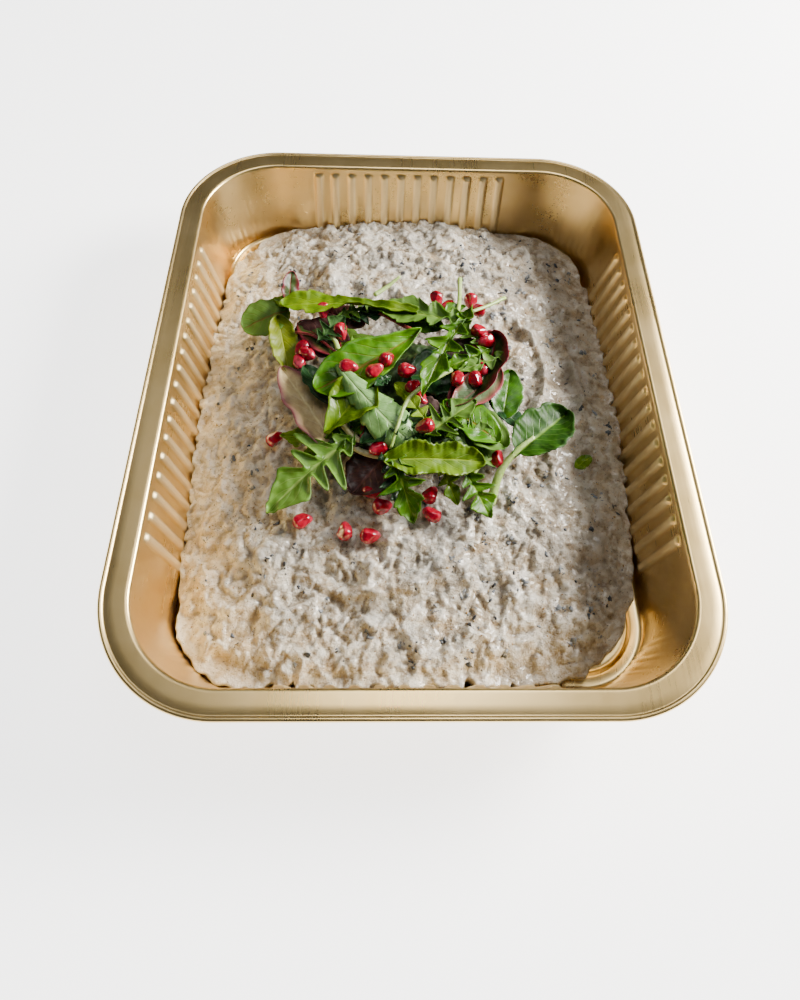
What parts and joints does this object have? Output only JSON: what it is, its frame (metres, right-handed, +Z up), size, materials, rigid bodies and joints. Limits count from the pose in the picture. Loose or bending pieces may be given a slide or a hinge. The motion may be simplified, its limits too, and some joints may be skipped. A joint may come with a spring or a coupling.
{
  "type": "baba ganoush in a foil tray",
  "caption": "Aubergine dip mounded in a ribbed gold foil catering tray, dressed with a heap of salad leaves and loose pomegranate seeds.",
  "frame": {"origin": "middle of the tray's foot, on the surface that it stands on", "axes": "+Z up, +Y along the tray's length, +X along its width"},
  "size_m": [0.262, 0.322, 0.0575],
  "materials": {
    "gold_foil": "satin gold-lacquered aluminium foil",
    "dip": "moist, coarse beige-grey aubergine paste with charred flecks",
    "leaves": "fresh green and purple salad leaves with a soft sheen",
    "pomegranate": "wet, glossy, slightly clear ruby red"
  },
  "bodies": {
    "root": {"tray": "gold_foil", "baba_ganoush": "dip", "salad_heap": "leaves", "pomegranate_seed_1": "pomegranate", "pomegranate_seed_2": "pomegranate", "pomegranate_seed_3": "pomegranate", "pomegranate_seed_4": "pomegranate", "pomegranate_seed_5": "pomegranate", "pomegranate_seed_6": "pomegranate", "pomegranate_seed_7": "pomegranate", "pomegranate_seed_8": "pomegranate"}
  },
  "joints": []
}
